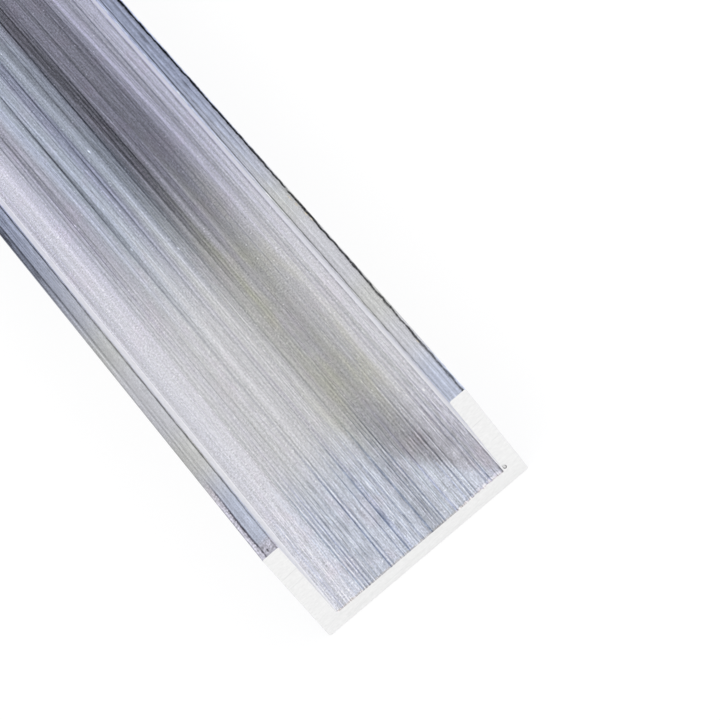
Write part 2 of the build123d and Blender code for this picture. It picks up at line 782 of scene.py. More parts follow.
@dataclass
class UChannel:
    """The bar itself: one extrusion with two sawn ends."""

    section: Section
    length: float
    grid: float = 0.25 * MM
    mark_pitch: float = 0.42 * MM
    mark_stretch: float = 6.0
    mark_depth: float = 0.006 * MM
    curl_across: float = -10.74 * MM
    curl_up: float = 0.52 * MM
    tip_reach: float = 1.2
    tip_slope: float = 0.05
    floor_slope: float = 0.7
    side_slack: float = 0.05 * MM
    web_slack: float = 0.1 * MM
    rim_reach: float = 0.01 * MM
    grid_clear: float = 0.6

    def build(self, finishes: dict[Face, bpy.types.Material]) -> bpy.types.Object:
        """Makes the bar as one closed mesh.

        Args:
            finishes: The material of each kind of face.

        Returns:
            The finished object at the origin.
        """
        sweep = Sweep(self.section, self.length)
        mesh = sweep.mesh(finishes[Face.OUTSIDE])
        mesh.name = "channel_bar"
        mesh.materials.clear()
        for face in Face:
            mesh.materials.append(finishes[face])
        shape = bmesh.new()
        shape.from_mesh(mesh)
        for face in shape.faces:
            face.material_index = self.kind(face).value
        for end in End:
            self.close(shape, end)
        self.add_curl(shape, finishes[Face.CURL])
        BakeLayout(self.section, self.length, sweep.point_spacing).lay(shape)
        shape.to_mesh(mesh)
        shape.free()
        bar = bpy.data.objects.new("channel_bar", mesh)
        bpy.context.scene.collection.objects.link(bar)
        return bar

    def kind(self, face: bmesh.types.BMFace) -> Face:
        """Tells which kind of extruded face this is, by its place and the way it faces.

        Args:
            face: A face of the sweep.

        Returns:
            Its kind.
        """
        section = self.section
        place, normal = face.calc_center_median(), face.normal
        on_top = place.z > section.height - self.tip_reach * section.tip_radius
        if on_top and normal.z > self.tip_slope:
            return Face.TIP
        beside = abs(place.y) > section.groove / 2 + self.side_slack
        if beside or place.z < section.web - self.web_slack:
            return Face.OUTSIDE
        return Face.FLOOR if normal.z > self.floor_slope else Face.WALL

    def add_curl(self, shape: bmesh.types.BMesh, material: bpy.types.Material) -> None:
        """Adds the torn curl at the right root corner of the near end.

        Args:
            shape: The closed bar.
            material: The curl's finish.
        """
        middle = Vector((-self.length / 2, self.curl_across, self.section.web + self.curl_up))
        curl = Curl(middle).mesh(material)
        known = len(shape.faces)
        shape.from_mesh(curl)
        shape.faces.ensure_lookup_table()
        added = shape.faces[known:]
        for face in added:
            face.material_index = Face.CURL.value
        bmesh.ops.recalc_face_normals(shape, faces=added)
        bpy.data.meshes.remove(curl)

    def mark(self, across: float, up: float) -> float:
        """How deep the saw's marks are at one place of a sawn end, in metres."""
        place = Vector((across / (self.mark_stretch * self.mark_pitch), up / self.mark_pitch, 0.0))
        return self.mark_depth * (0.5 + 0.5 * noise.noise(place))

    def close(self, shape: bmesh.types.BMesh, end: End) -> None:
        """Fills one open end with a triangulated face that carries the saw's marks.

        Args:
            shape: The open tube.
            end: Which end to fill.
        """
        at = end.value * self.length / 2
        around = shape.verts.layers.float["around"]
        rim = [v for v in shape.verts if abs(v.co.x - at) < self.rim_reach]
        rim.sort(key=lambda v: v[around])
        count = len(rim)
        points = [Vector((v.co.y, v.co.z)) for v in rim] + self.inner_points()
        edges = [(i, (i + 1) % count) for i in range(count)]
        filled = delaunay_2d_cdt(points, edges, [list(range(count))], 1, 1e-9)
        places, _, faces, origins, _, _ = filled
        made: list[bmesh.types.BMVert] = []
        for place, origin in zip(places, origins):
            known = [i for i in origin if i < count]
            if known:
                made.append(rim[known[0]])
            else:
                sunk = at - end.value * self.mark(place.x, place.y)
                made.append(shape.verts.new((sunk, place.x, place.y)))
        for face in faces:
            corners = [made[i] for i in face]
            if end is End.NEAR:
                corners.reverse()
            if len(set(corners)) == len(corners):
                cap = shape.faces.new(corners)
                cap.material_index = Face.SAWN.value
                cap.smooth = True
        for vert, following in zip(rim, rim[1:] + rim[:1]):
            edge = shape.edges.get((vert, following))
            if edge:
                edge.smooth = False

    def inner_points(self) -> list[Vector]:
        """Lists an even grid of points inside the section, clear of its outline.

        Returns:
            The points, across and up.
        """
        section, step = self.section, self.grid
        clear = self.grid_clear * step
        found = []
        for i in range(int(section.width / step) + 1):
            for j in range(int(section.height / step) + 1):
                across, up = (i + 0.5) * step - section.width / 2, (j + 0.5) * step
                in_web = up < section.web - clear
                in_flange = abs(across) > section.groove / 2 + clear
                in_box = abs(across) < section.width / 2 - clear and clear < up < section.height - clear
                if in_box and (in_web or in_flange):
                    found.append(Vector((across, up)))
        return found


class Effect:
    """A shader node group with named sockets, built once and placed wherever it is wanted."""

    def __init__(self, name: str, takes: dict[str, float], gives: dict[str, str]) -> None:
        """Makes the empty group.

        Args:
            name: The group's name.
            takes: Each input with the value that it starts with.
            gives: Each output with its socket type.
        """
        self.tree = bpy.data.node_groups.new(name, "ShaderNodeTree")
        for label, value in takes.items():
            socket = self.tree.interface.new_socket(label, in_out="INPUT", socket_type="NodeSocketFloat")
            socket.default_value = value
        for label, kind in gives.items():
            self.tree.interface.new_socket(label, in_out="OUTPUT", socket_type=kind)
        self.wiring = Wiring(self.tree)
        self.given = self.wiring.node("NodeGroupInput").outputs
        self.result = self.wiring.node("NodeGroupOutput")

    def give(self, **values: Any) -> None:
        """Joins the group's outputs, with an underscore for each space in a name."""
        for label, value in values.items():
            self.wiring.feed(self.result.inputs[label.replace("_", " ")], value)


FLOAT = "NodeSocketFloat"
COLOUR = "NodeSocketColor"


@dataclass
class Effects:
    """The node groups that the bar's finishes share. Lengths along the bar are in millimetres.

    The stretches turn dark from first_dark on. From photo_end on a slow noise takes over.
    """

    length: float
    half_groove: float
    # The cut end, pale and dark stretches near the cut are painted reflection, the surroundings mirrored
    # lighter and darker in the metal; further on the slow noise varies the tone at random.
    first_dark: tuple[float, float] = (36.0, 69.0)
    photo_end: tuple[float, float] = (105.0, 160.0)
    slow_run: float = 170.0
    slow_noise: tuple[float, float] = (0.30, 0.70)
    slow_dark: tuple[float, float] = (0.15, 0.60)
    place: Effect = field(init=False)
    lines: Effect = field(init=False)
    zones: Effect = field(init=False)
    band: Effect = field(init=False)
    spot: Effect = field(init=False)
    specks: Effect = field(init=False)
    paint: Effect = field(init=False)

    def __post_init__(self) -> None:
        """Builds every group."""
        self.place = self.build_place()
        self.lines = self.build_lines()
        self.zones = self.build_zones()
        self.band = self.build_band()
        self.spot = self.build_spot()
        self.specks = self.build_specks()
        self.paint = self.build_paint()

    def build_place(self) -> Effect:
        """Where a point is, in millimetres: along from the near cut, across, up, and from the nearer cut.

        Returns:
            The group.
        """
        outputs = dict.fromkeys(("Along", "Across", "Up", "From Cut"), FLOAT)
        effect = Effect("bar_place", {"Length": self.length}, outputs)
        wiring = effect.wiring
        coordinates = wiring.node("ShaderNodeTexCoord").outputs["Object"]
        place = wiring.node("ShaderNodeSeparateXYZ", {0: coordinates}).outputs
        half = wiring.product(effect.given["Length"], 0.5)
        from_cut = wiring.math("SUBTRACT", half, wiring.math("ABSOLUTE", place["X"]))
        effect.give(
            Along=wiring.math("DIVIDE", wiring.math("ADD", place["X"], half), MM),
            Across=wiring.math("DIVIDE", place["Y"], MM),
            Up=wiring.math("DIVIDE", place["Z"], MM),
            From_Cut=wiring.math("DIVIDE", from_cut, MM),
        )
        return effect

    def build_lines(self) -> Effect:
        """Fine lines along the bar, from -1 to 1, that fade in and out on the way.

        Returns:
            The group.
        """
        takes = {"Around": 0.0, "Along": 0.0, "Pitch": 0.2, "Run": 60.0, "Seed": 0.0}
        effect = Effect("die_lines", takes, {"Lines": FLOAT})
        wiring, given = effect.wiring, effect.given
        place = wiring.node("ShaderNodeCombineXYZ", {
            "X": wiring.math("DIVIDE", given["Around"], given["Pitch"]),
            "Y": wiring.math("DIVIDE", given["Along"], given["Run"]),
            "Z": given["Seed"],
        }).outputs[0]
        inputs = {"Vector": place, "Scale": 1.0, "Detail": 2.0, "Roughness": 0.6}
        soft = wiring.node("ShaderNodeTexNoise", inputs).outputs[0]
        swing = wiring.product(wiring.math("SUBTRACT", soft, 0.5), 5.0)
        effect.give(Lines=wiring.math("MAXIMUM", wiring.math("MINIMUM", swing, 1.0), -1.0))
        return effect

    def build_zones(self) -> Effect:
        """How much a place belongs to the crisp cut end, to a pale stretch and to a dark one.

        The three add up to 1. The first pale and dark stretches have fixed places. Near the cuts the three
        are painted reflection, the surroundings mirrored lighter and darker along the bar.

        Returns:
            The group.
        """
        takes = dict.fromkeys(("Along", "From Cut", "Jitter", "Crisp", "Pale", "Seed"), 0.0)
        effect = Effect("stretches", takes, dict.fromkeys(("Near", "Mid", "Far"), FLOAT))
        wiring, given = effect.wiring, effect.given
        near = wiring.smooth(given["From Cut"], given["Crisp"], given["Pale"], 1.0, 0.0)
        along = wiring.math("ADD", given["Along"], given["Jitter"])
        first = wiring.smooth(along, *self.first_dark)
        phase = wiring.math("ADD", wiring.math("DIVIDE", along, self.slow_run), given["Seed"])
        later = wiring.smooth(wiring.wave(phase, 1.0), *self.slow_noise, *self.slow_dark)
        past = wiring.smooth(given["Along"], *self.photo_end)
        dark = wiring.node("ShaderNodeMix", {0: past, 2: first, 3: later}, data_type="FLOAT").outputs[0]
        rest = wiring.math("SUBTRACT", 1.0, near)
        far = wiring.product(rest, dark)
        effect.give(Near=near, Far=far, Mid=wiring.math("SUBTRACT", rest, far))
        return effect

    def build_band(self) -> Effect:
        """A band with soft edges: 1 within its half width of its centre, and 0 outside.

        Returns:
            The group.
        """
        takes = {"Across": 0.0, "Centre": 0.0, "Half Width": 1.0, "Edge": 0.2}
        effect = Effect("band", takes, {"Mask": FLOAT})
        wiring, given = effect.wiring, effect.given
        gap = wiring.math("ABSOLUTE", wiring.math("SUBTRACT", given["Across"], given["Centre"]))
        inner = wiring.math("SUBTRACT", given["Half Width"], given["Edge"])
        outer = wiring.math("ADD", given["Half Width"], given["Edge"])
        effect.give(Mask=wiring.smooth(gap, inner, outer, 1.0, 0.0))
        return effect

    def build_spot(self) -> Effect:
        """One soft spot: 1 at its middle and 0 from its edge on.

        Returns:
            The group.
        """
        takes = dict.fromkeys(("Across", "Along", "Centre Across", "Centre Along"), 0.0)
        effect = Effect("spot", takes | {"Half Across": 1.0, "Half Along": 1.0}, {"Mask": FLOAT})
        wiring, given = effect.wiring, effect.given
        offsets = {}
        for axis, way in (("X", "Across"), ("Y", "Along")):
            offset = wiring.math("SUBTRACT", given[way], given[f"Centre {way}"])
            offsets[axis] = wiring.math("DIVIDE", offset, given[f"Half {way}"])
        gap = wiring.node("ShaderNodeCombineXYZ", offsets).outputs[0]
        reach = wiring.node("ShaderNodeVectorMath", {0: gap}, operation="LENGTH").outputs["Value"]
        effect.give(Mask=wiring.smooth(reach, 0.2, 1.0, 1.0, 0.0))
        return effect

    def build_specks(self) -> Effect:
        """Tiny bright specks, and short pale marks that lie across the lines.

        Returns:
            The group.
        """
        takes = {"Around": 0.0, "Along": 0.0, "Seed": 0.0}
        effect = Effect("bright_specks", takes, {"Specks": FLOAT, "Marks": FLOAT})
        wiring, given = effect.wiring, effect.given
        for label, around_cell, along_cell, radius, share in (
            ("Specks", 1.1, 1.6, 0.065, 0.40),
            ("Marks", 2.2, 0.55, 0.17, 0.80),
        ):
            place = wiring.node("ShaderNodeCombineXYZ", {
                "X": wiring.math("DIVIDE", given["Around"], around_cell),
                "Y": wiring.math("DIVIDE", given["Along"], along_cell),
                "Z": given["Seed"],
            }).outputs[0]
            inputs = {"Vector": place, "Scale": 1.0}
            cells = wiring.node("ShaderNodeTexVoronoi", inputs, voronoi_dimensions="2D").outputs
            pick = wiring.node("ShaderNodeSeparateXYZ", {0: cells["Color"]}).outputs["X"]
            dot = wiring.smooth(cells["Distance"], 0.3 * radius, radius, 1.0, 0.0)
            effect.give(**{label: wiring.product(dot, wiring.smooth(pick, share, 1.0))})
        return effect

    def build_paint(self) -> Effect:
        """Metal colour from a tone as it looks, and how far it leans to blue, violet and olive.

        Returns:
            The group.
        """
        takes = {"Tone": 0.8, "Blue": 0.0, "Violet": 0.0, "Olive": 0.0}
        effect = Effect("metal_colour", takes, {"Colour": COLOUR})
        wiring, given = effect.wiring, effect.given
        channels = {}
        for channel, *leans in (
            ("Red", -0.030, 0.010, 0.002), ("Green", 0.0, -0.018, 0.002), ("Blue", 0.064, 0.040, -0.040)
        ):
            lean = 1.0
            for label, amount in zip(("Blue", "Violet", "Olive"), leans):
                lean = wiring.math("MULTIPLY_ADD", given[label], amount, lean)
            channels[channel] = wiring.math("MULTIPLY", given["Tone"], lean, clamp=True)
        mixed = wiring.node("ShaderNodeCombineColor", channels).outputs[0]
        effect.give(Colour=wiring.node("ShaderNodeGamma", {0: mixed, 1: 2.2}).outputs[0])
        return effect


@dataclass(frozen=True)
class Streak:
    """One band of tone along the bar, in millimetres, with how much it darkens in parts of 255.

    The three amounts are for the cut end, the pale stretch and the dark stretch.
    """

    centre: float
    half_width: float
    edge: float
    near: float
    mid: float
    far: float


@dataclass(frozen=True)
class Spot:
    """A small mark of its own, in millimetres, with how much it darkens in parts of 255."""

    across: float
    along: float
    half_across: float
    half_along: float
    darkens: float


@dataclass
class Finish:
    """What the bar's finishes have in common: a metal whose tone is painted in its own place."""

    effects: Effects
    name: str
    roughness: float = 0.30

    def start(self) -> None:
        """Makes the empty metal material and the place that its pattern reads."""
        self.material = bpy.data.materials.new(self.name)
        self.material.use_nodes = True
        self.wiring = Wiring(self.material.node_tree)
        self.shader = self.material.node_tree.nodes["Principled BSDF"]
        self.shader.inputs["Metallic"].default_value = 1.0
        self.place = self.use(self.effects.place)

    def use(self, effect: Effect, **inputs: Any) -> Any:
        """Places a shared effect and gives its outputs. Underscores stand for spaces in the names."""
        named = {label.replace("_", " "): value for label, value in inputs.items()}
        return self.wiring.node("ShaderNodeGroup", named, node_tree=effect.tree).outputs

    def lines(self, around: Any, pitch: float, run: float, seed: float) -> bpy.types.NodeSocket:
        """Places the fine lines at one pitch and run."""
        along = self.place["Along"]
        return self.use(self.effects.lines, Around=around, Along=along, Pitch=pitch, Run=run, Seed=seed)[0]

    def band(self, across: Any, centre: Any, half_width: float, edge: float) -> bpy.types.NodeSocket:
        """Places one soft band."""
        return self.use(self.effects.band, Across=across, Centre=centre, Half_Width=half_width, Edge=edge)[0]

    def spot(self, across: Any, along: Any, spot: Spot) -> bpy.types.NodeSocket:
        """Places one soft spot.

        Args:
            across: Where a point is across the lines, in millimetres.
            along: Where it is along them.
            spot: Where the spot is, and its size.

        Returns:
            Its mask.
        """
        return self.use(
            self.effects.spot, Across=across, Along=along,
            Centre_Across=spot.across, Centre_Along=spot.along,
            Half_Across=spot.half_across, Half_Along=spot.half_along,
        )[0]

    def weigh(self, zones: Any, near: float, mid: float, far: float) -> bpy.types.NodeSocket:
        """Takes near, mid and far as the stretches have them."""
        inputs = {0: zones, 1: (near, mid, far)}
        return self.wiring.node("ShaderNodeVectorMath", inputs, operation="DOT_PRODUCT").outputs["Value"]

    def layered(self, total: Any, zones: Any, layers: Iterable[tuple[Any, Any]]) -> bpy.types.NodeSocket:
        """Adds patterns to a total, each by its own amounts near, mid and far.

        Args:
            total: What they are added to.
            zones: The stretches' weights.
            layers: Each pattern with its three amounts.

        Returns:
            The new total.
        """
        for pattern, amounts in layers:
            total = self.wiring.math("MULTIPLY_ADD", pattern, self.weigh(zones, *amounts), total)
        return total

    def stretches(
        self, jitter: Any, seed: float, crisp: Any = 9.0, pale: Any = 21.0
    ) -> bpy.types.NodeSocket:
        """Places the stretches.

        Args:
            jitter: Millimetres by which the borders wander.
            seed: Seed of the slow noise past the first stretches.
            crisp: Millimetres from a cut at which its zone starts to end.
            pale: Millimetres at which it has ended.

        Returns:
            The three stretches' weights as one vector.
        """
        weights = self.use(
            self.effects.zones,
            Along=self.place["Along"], From_Cut=self.place["From Cut"], Jitter=jitter,
            Crisp=crisp, Pale=pale, Seed=seed,
        )
        return self.wiring.node(
            "ShaderNodeCombineXYZ", {"X": weights["Near"], "Y": weights["Mid"], "Z": weights["Far"]}
        ).outputs[0]

    def finish(self, colour: dict[str, Any], roughness: Any, relief: Any, depth: float) -> bpy.types.Material:
        """Joins colour, roughness and relief to the shader.

        Args:
            colour: The tone as it looks, from 0 to 255, and how far it leans to Blue, Violet and Olive.
            roughness: The roughness.
            relief: A height from -1 to 1.
            depth: What a height of 1 is in metres.

        Returns:
            The finished material.
        """
        tone = self.wiring.math("DIVIDE", colour.pop("Tone"), 255.0)
        colour = self.use(self.effects.paint, Tone=tone, **colour)[0]
        self.wiring.feed(self.shader.inputs["Base Color"], colour)
        self.wiring.feed(self.shader.inputs["Roughness"], roughness)
        bump = self.wiring.node("ShaderNodeBump", {"Strength": 1.0, "Distance": depth, "Height": relief})
        self.wiring.feed(self.shader.inputs["Normal"], bump.outputs[0])
        return self.material


@dataclass
class FloorFinish(Finish):
    """The groove's floor: crisp blue-grey lines at the cut, a pale stretch, then broad dark streaks. Much of
    this tone is painted light: the stretches and the broadest streaks are painted reflection, the wedge at
    the cut's right side is painted light beside the right flange's painted shadow, and the root corners carry
    painted shade.
    """

    name: str = "groove_floor"
    base: float = 216.0
    bend: float = 0.6
    bend_along: tuple[float, float] = (58.0, 100.0)
    # Partly the floor's own die streaks and partly painted light: the two widest bands, at 11.6 and 14.7, are
    # painted reflection of darker surroundings, the paler band at 0.0 is painted light beside the left wall,
    # and the dark bands at 0.28 and 20.9 are painted shade in the root corners.
    streaks: tuple[Streak, ...] = (
        Streak(11.6, 8.3, 1.0, 17.0, 12.0, 40.0),
        Streak(14.7, 3.5, 1.1, 12.0, 24.0, 48.0),
        Streak(0.0, 0.7, 0.5, -14.0, -14.0, -6.0),
        Streak(0.28, 0.32, 0.15, 8.0, 13.0, 19.0),
        Streak(1.6, 0.60, 0.4, -5.0, -6.0, -3.0),
        Streak(2.9, 0.45, 0.3, 0.0, 0.0, 12.0),
        Streak(4.5, 0.75, 0.35, 9.0, 2.0, 16.0),
        Streak(5.6, 0.35, 0.2, -2.0, -4.0, -6.0),
        Streak(6.8, 0.50, 0.3, 0.0, -2.0, -6.0),
        Streak(7.0, 0.35, 0.25, 4.0, 3.0, 14.0),
        Streak(7.5, 0.60, 0.3, -2.0, -6.0, -4.0),
        Streak(9.1, 0.65, 0.25, 8.0, 3.0, 28.0),
        Streak(9.4, 1.10, 0.5, -7.0, 0.0, -4.0),
        Streak(9.75, 0.60, 0.3, 2.0, 4.0, 9.0),
        Streak(10.9, 0.45, 0.25, 2.0, 2.0, 8.0),
        Streak(11.75, 0.35, 0.2, 0.0, 0.0, -8.0),
        Streak(12.5, 0.60, 0.4, 8.0, 0.0, 0.0),
        Streak(13.05, 0.50, 0.25, 12.0, 6.0, 24.0),
        Streak(13.7, 0.50, 0.4, -7.0, 0.0, 0.0),
        Streak(13.7, 0.30, 0.2, 6.0, 6.0, 14.0),
        Streak(14.6, 0.30, 0.2, -2.0, 0.0, 6.0),
        Streak(15.1, 0.9, 0.6, 0.0, 12.0, 2.0),
        Streak(17.3, 0.7, 0.4, 0.0, 0.0, 8.0),
        Streak(18.4, 0.5, 0.3, -4.0, -5.0, -8.0),
        Streak(19.15, 0.35, 0.25, 2.0, 4.0, 7.0),
        Streak(19.25, 0.15, 0.10, 0.0, 0.0, 20.0),
        Streak(19.95, 0.35, 0.25, 0.0, 0.0, 14.0),
        Streak(20.27, 0.12, 0.08, -3.0, -10.0, -14.0),
        Streak(20.9, 0.8, 0.4, 6.0, -3.0, 22.0),
    )
    # Millimetres from the left wall of the painted shade in the right root corner.
    right_root_shade: float = 20.86
    # A small blue, darker streak near the cut.
    blue_streak: Spot = Spot(9.27, 5.4, 0.30, 2.6, 24.0)
    marks: tuple[Spot, ...] = (
        Spot(20.27, 14.5, 0.10, 0.32, -70.0),
        Spot(20.86, 0.5, 0.17, 1.10, 50.0),
        Spot(19.49, 0.9, 0.10, 0.90, 50.0),
        Spot(9.75, 4.2, 0.16, 0.26, -30.0),
        Spot(9.50, 0.8, 0.20, 0.18, -26.0),
        Spot(10.31, 69.8, 0.12, 0.55, -70.0),
        Spot(10.91, 50.6, 0.10, 0.40, -80.0),
        Spot(7.15, 54.8, 0.10, 0.40, -60.0),
        Spot(4.20, 62.7, 0.10, 0.45, -50.0),
        Spot(3.00, 33.0, 0.10, 0.35, -50.0),
    )

    def build(self) -> bpy.types.Material:
        """Builds the material.

        Returns:
            The floor's finish.
        """
        self.start()
        wiring, along = self.wiring, self.place["Along"]
        from_left = wiring.math("SUBTRACT", self.effects.half_groove, self.place["Across"])
        bend = wiring.smooth(along, *self.bend_along, 0.0, self.bend)
        across = wiring.math("ADD", from_left, bend)
        coarse = self.lines(across, 0.62, 160.0, 3.0)
        middle = self.lines(across, 0.30, 90.0, 6.0)
        fine = self.lines(across, 0.14, 40.0, 7.0)
        short = self.lines(across, 0.13, 2.2, 8.0)
        bead = self.lines(from_left, 0.13, 0.22, 10.0)
        grain = self.lines(from_left, 0.24, 0.17, 11.0)
        glint = wiring.smooth(self.lines(across, 0.21, 55.0, 9.0), 0.55, 1.0)
        jitter = wiring.product(self.lines(across, 1.3, 400.0, 5.0), 5.0)
        zones = self.stretches(jitter, 2.0)
        score = wiring.node("ShaderNodeAttribute", attribute_name="score").outputs["Fac"]

        calm = self.layered(1.0, zones, (
            (self.band(across, 17.0, 2.4, 0.8), (0.0, -0.2, -0.3)),
            (self.band(across, 1.8, 1.5, 0.5), (-0.1, -0.4, -0.6)),
        ))
        lined = self.layered(0.0, zones, (
            (score, (52.0, 24.0, 50.0)),
            (wiring.math("POWER", wiring.math("MAXIMUM", score, 0.0), 2.0), (14.0, 2.0, 22.0)),
            (wiring.math("MINIMUM", score, 0.0), (6.0, -4.0, -38.0)),
            (coarse, (-7.0, -5.0, -18.0)),
            (middle, (-10.0, -9.0, -20.0)),
            (fine, (-27.0, -13.0, -20.0)),
            (short, (-26.0, -8.0, -10.0)),
            (glint, (-12.0, -5.0, -8.0)),
        ))
        flecks = self.use(self.effects.specks, Around=from_left, Along=along, Seed=1.0)
        dark = self.layered(wiring.product(lined, calm), zones, (
            *(
                (self.band(across, streak.centre, streak.half_width, streak.edge),
                 (streak.near, streak.mid, streak.far))
                for streak in self.streaks
            ),
            (grain, (-10.0, -19.0, -21.0)),
            (bead, (-30.0, -20.0, -20.0)),
            (flecks["Specks"], (-75.0, -80.0, -80.0)),
            (flecks["Marks"], (-24.0, -24.0, -24.0)),
        ))
        # Painted light in the wedge at the cut's right side, and the right flange's painted shadow past it.
        shade, in_flange_shadow = self.wedge(from_left, coarse)
        lip, rim, tint = self.lip(from_left)
        # Painted shade along the right root corner.
        root = self.band(from_left, self.right_root_shade, 0.14, 0.06)
        blue_streak_mask = self.spot(from_left, along, self.blue_streak)
        for mask, amount in (
            # Painted light and shadow of the wedge, and painted shade in the right root corner; then the
            # cut's rim, lip and tint, the blue streak and the marks.
            (shade, 1.0),
            (root, wiring.smooth(along, 22.0, 34.0, 20.0, 24.0)),
            (rim, 20.0),
            (lip, -25.0),
            (tint, 10.0),
            (blue_streak_mask, self.blue_streak.darkens),
            *((self.spot(from_left, along, mark), mark.darkens) for mark in self.marks),
        ):
            dark = wiring.math("MULTIPLY_ADD", mask, amount, dark)

        # Blue and violet lean with the stretches, as part of their painted reflection.
        blue = self.weigh(zones, 0.8, 0.12, 0.7)
        violet = wiring.math("MULTIPLY_ADD", coarse, 0.25, self.weigh(zones, 0.1, 0.2, 0.55))
        cut = wiring.math("MAXIMUM", score, 0.0)
        blush = wiring.smooth(self.lines(from_left, 3.5, 6.0, 15.0), 0.1, 0.9)
        for mask, blues, violets in (
            (cut, (1.7, 0.2, 0.4), (0.2, 0.0, 0.0)),
            # The cut lines lose their blue in the right flange's painted shadow.
            (wiring.product(cut, in_flange_shadow), (-1.0, 0.0, 0.0), (0.0, 0.0, 0.0)),
            (blush, (-0.3, -0.1, -0.2), (0.3, 0.2, 0.3)),
            (blue_streak_mask, (0.6, 0.0, 0.0), (0.1, 0.0, 0.0)),
            (self.band(across, 9.0, 3.4, 0.6), (0.1, 0.0, 0.66), (0.0, 0.0, -0.5)),
            (self.band(across, 9.2, 0.6, 0.3), (0.1, 0.0, 0.2), (0.0, 0.0, 0.4)),
            (self.band(from_left, 0.0, 2.6, 1.0), (-0.42, 0.08, -0.32), (0.15, 0.07, -0.08)),
            (self.band(from_left, 15.2, 3.6, 0.8), (0.0, 0.0, 0.20), (0.0, 0.0, 0.22)),
            # The painted shadow past the wedge's edge leans less blue and more violet.
            (in_flange_shadow, (-0.5, 0.0, 0.0), (0.3, 0.0, 0.0)),
            (lip, (-0.4, 0.0, 0.0), (0.3, 0.0, 0.0)),
            (tint, (-0.9, 0.0, 0.0), (0.2, 0.0, 0.0)),
        ):
            blue = wiring.math("MULTIPLY_ADD", mask, self.weigh(zones, *blues), blue)
            violet = wiring.math("MULTIPLY_ADD", mask, self.weigh(zones, *violets), violet)
        patches = wiring.smooth(self.lines(from_left, 2.2, 13.0, 13.0), -0.5, 0.9, 0.15, 1.5)
        olive = self.layered(0.0, zones, (
            (wiring.product(self.band(from_left, 14.9, 3.7, 1.7), patches), (0.0, 1.0, 0.0)),
            (self.band(from_left, 12.8, 0.9, 0.4), (0.1, 0.5, 0.1)),
        ))
        tone = wiring.math("SUBTRACT", self.base, dark)
        colour = {"Tone": tone, "Blue": blue, "Violet": violet, "Olive": olive}
        roughness = wiring.math("MULTIPLY_ADD", fine, 0.05, self.roughness)
        return self.finish(colour, roughness, fine, 0.0015 * MM)

    def lip(self, from_left: Any) -> tuple[bpy.types.NodeSocket, ...]:
        """The pale torn lip along the near cut's right half, its rim, and a tint along all the cut.

        Args:
            from_left: Millimetres from the left wall.

        Returns:
            A mask of each.
        """
        wiring, along = self.wiring, self.place["Along"]
        torn = self.lines(from_left, 0.55, 3.0, 17.0)
        frayed = self.lines(from_left, 0.16, 3.0, 19.0)
        reach = wiring.math("MULTIPLY_ADD", torn, 0.22, wiring.smooth(from_left, 14.5, 20.0, 0.15, 0.65))
        reach = wiring.math("MULTIPLY_ADD", frayed, 0.07, reach)
        past = wiring.math("SUBTRACT", along, reach)
        here = self.band(from_left, 17.9, 2.9, 0.5)
        lip = wiring.product(wiring.smooth(past, -0.16, 0.06, 1.0, 0.0), here)
        rim = wiring.product(self.band(past, 0.06, 0.06, 0.05), here)
        tint = wiring.smooth(wiring.math("MULTIPLY_ADD", torn, -0.12, along), 0.1, 0.3, 1.0, 0.0)
        return lip, rim, tint

    def wedge(self, from_left: Any, coarse: Any) -> tuple[bpy.types.NodeSocket, ...]:
        """The pale wedge at the near cut's right side, painted light, and the dark patch past its slanting
        edge, the right flange's painted shadow.

        Args:
            from_left: Millimetres from the left wall.
            coarse: The coarse lines, which fray the edge.

        Returns:
            How much the two darken, and a mask of what lies past the edge.
        """
        wiring, along = self.wiring, self.place["Along"]
        past = wiring.math("SUBTRACT", wiring.math("MULTIPLY_ADD", along, 0.68, from_left), 21.0)
        past = wiring.math("MULTIPLY_ADD", coarse, 0.6, past)
        before = wiring.smooth(past, -1.6, 0.6, 1.0, 0.0)
        # Painted light in the wedge, where light reaches in past the right flange at the cut.
        pale = wiring.product(wiring.smooth(from_left, 12.5, 15.5), before, -13.0)
        # The right flange's painted shadow past the wedge's slanting edge.
        in_flange_shadow = wiring.product(wiring.smooth(past, -1.0, 0.9), wiring.smooth(from_left, 12.4, 15.2))
        reach = wiring.smooth(past, 2.2, 8.6, 1.0, 0.0)
        dark = wiring.product(in_flange_shadow, reach, wiring.smooth(from_left, 16.5, 19.0, 1.0, 0.55), 29.0)
        fade = wiring.smooth(along, 16.0, 34.0, 1.0, 0.0)
        return wiring.product(wiring.math("ADD", pale, dark), fade), in_flange_shadow


